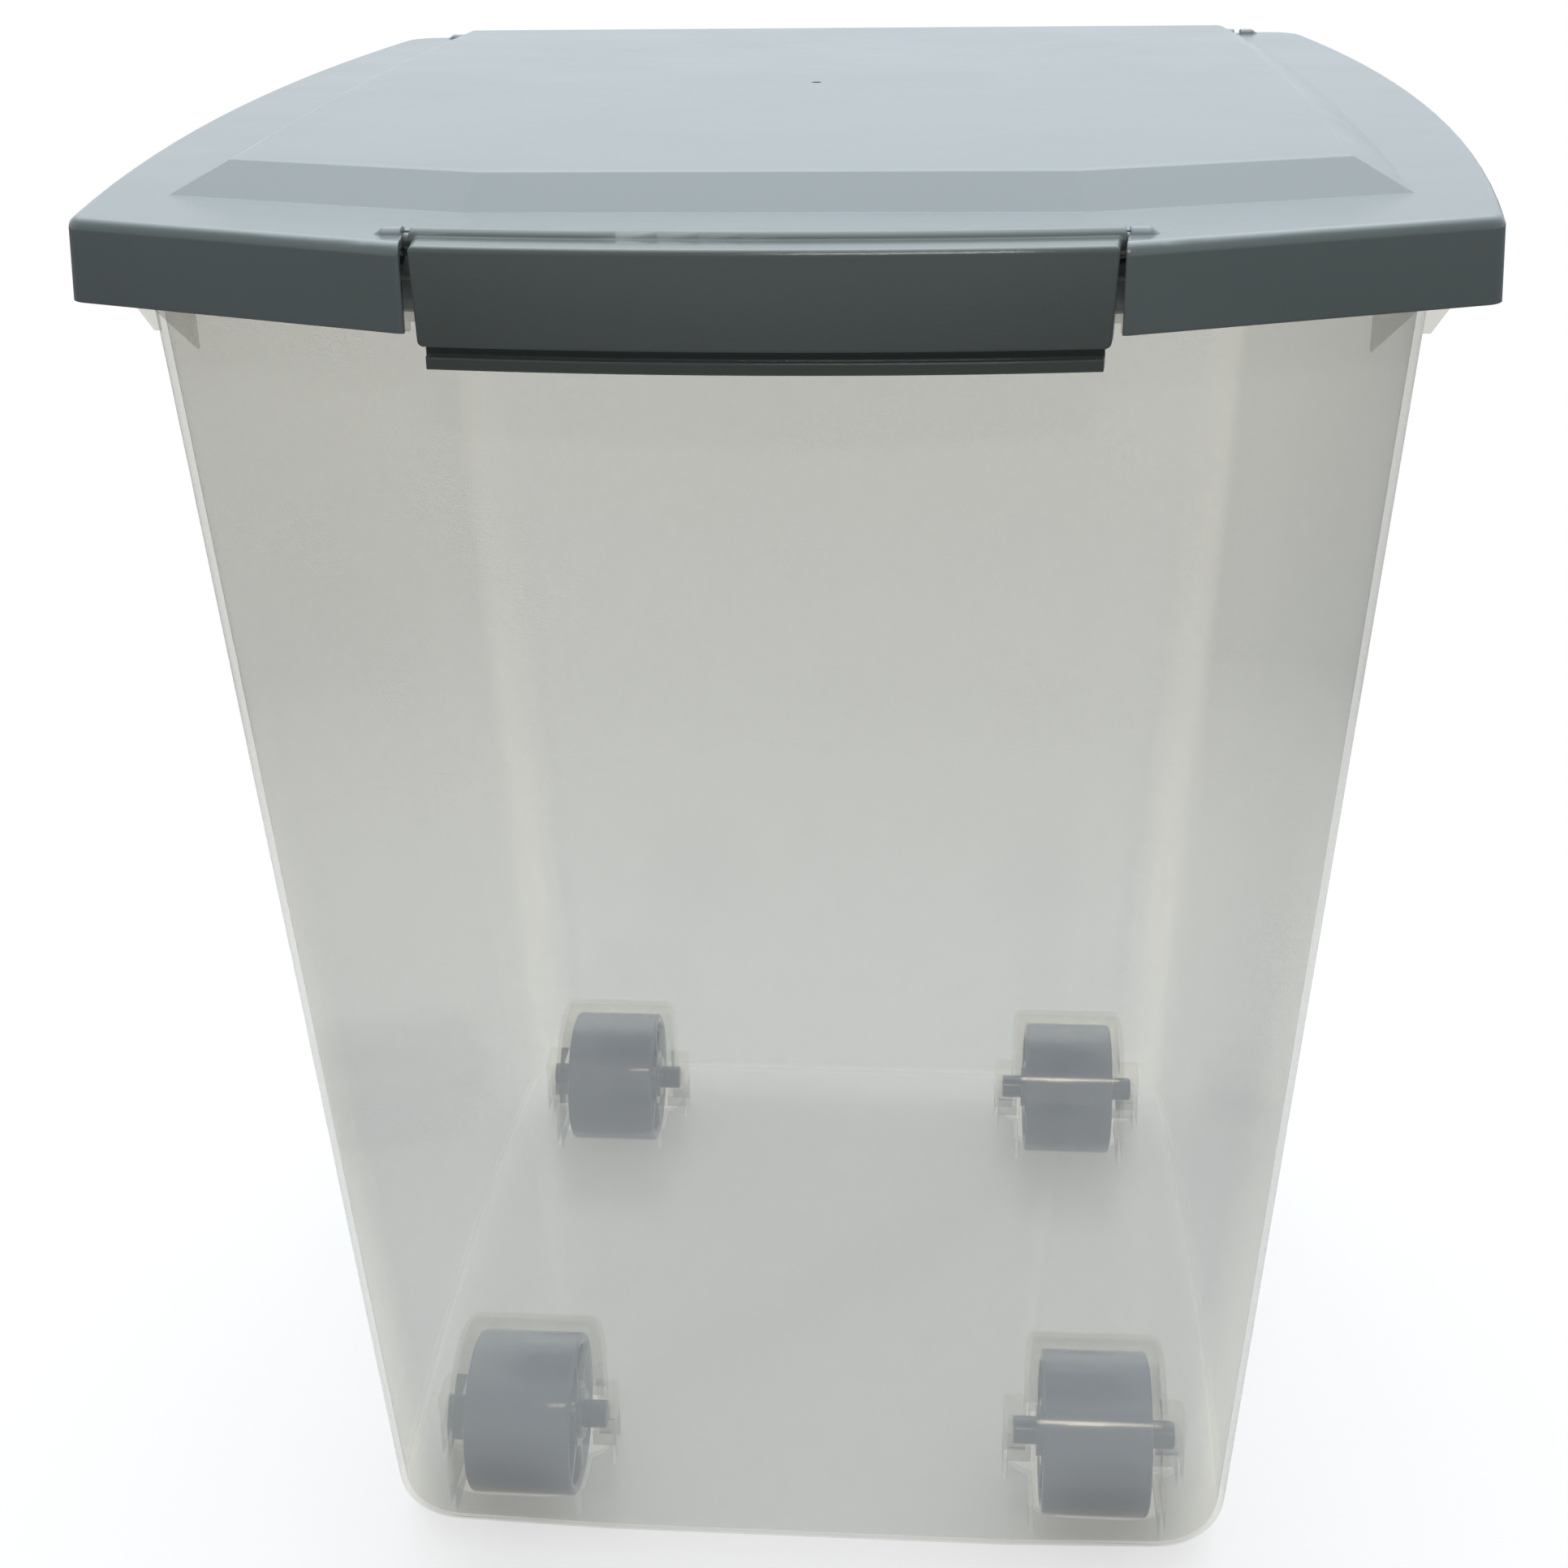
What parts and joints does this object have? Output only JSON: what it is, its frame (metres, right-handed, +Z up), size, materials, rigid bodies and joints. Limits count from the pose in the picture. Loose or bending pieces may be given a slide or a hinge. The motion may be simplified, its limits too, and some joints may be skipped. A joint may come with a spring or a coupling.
{
  "type": "pet food storage container",
  "caption": "Tapered see-through bin with a hinged lid, a front latch and wheels set up into its floor, for storing dry pet food.",
  "frame": {"origin": "on the floor, under the middle of the container's footprint", "axes": "+X to the right seen from the front, +Y to the rear hinge, +Z up"},
  "size_m": [0.397, 0.467, 0.486],
  "materials": {
    "bin_plastic": "moulded translucent polypropylene, smooth",
    "lid_plastic": "moulded slate grey polypropylene, satin",
    "seal_rubber": "soft foam rubber, smooth",
    "wheel_plastic": "moulded blue-grey polypropylene, satin"
  },
  "bodies": {
    "bin": {"storage_bin": "bin_plastic", "rear_hinge_clip": "lid_plastic", "front_left_axle": "wheel_plastic", "front_right_axle": "wheel_plastic", "rear_left_axle": "wheel_plastic", "rear_right_axle": "wheel_plastic"},
    "lid": {"lid": "lid_plastic", "lid_seal": "seal_rubber"},
    "latch": {"front_latch": "lid_plastic"},
    "front_left_wheel": {"front_left_wheel": "wheel_plastic"},
    "front_right_wheel": {"front_right_wheel": "wheel_plastic"},
    "rear_left_wheel": {"rear_left_wheel": "wheel_plastic"},
    "rear_right_wheel": {"rear_right_wheel": "wheel_plastic"}
  },
  "joints": [
    {"name": "lid_hinge", "type": "hinge", "parent": "bin", "child": "lid", "pos_m": [0, 0.2234, 0.4763], "axis": [-1, 0, 0], "range_deg": [0, 130]},
    {"name": "latch_swing", "type": "hinge", "parent": "lid", "child": "latch", "pos_m": [0, -0.2114, 0.4763], "axis": [-1, 0, 0], "range_deg": [0, 110]},
    {"name": "front_left_wheel_spin", "type": "hinge", "parent": "bin", "child": "front_left_wheel", "pos_m": [-0.103, -0.1005, 0.029], "axis": [1, 0, 0], "continuous": true},
    {"name": "front_right_wheel_spin", "type": "hinge", "parent": "bin", "child": "front_right_wheel", "pos_m": [0.103, -0.1005, 0.029], "axis": [1, 0, 0], "continuous": true},
    {"name": "rear_left_wheel_spin", "type": "hinge", "parent": "bin", "child": "rear_left_wheel", "pos_m": [-0.103, 0.1325, 0.029], "axis": [1, 0, 0], "continuous": true},
    {"name": "rear_right_wheel_spin", "type": "hinge", "parent": "bin", "child": "rear_right_wheel", "pos_m": [0.103, 0.1325, 0.029], "axis": [1, 0, 0], "continuous": true}
  ]
}
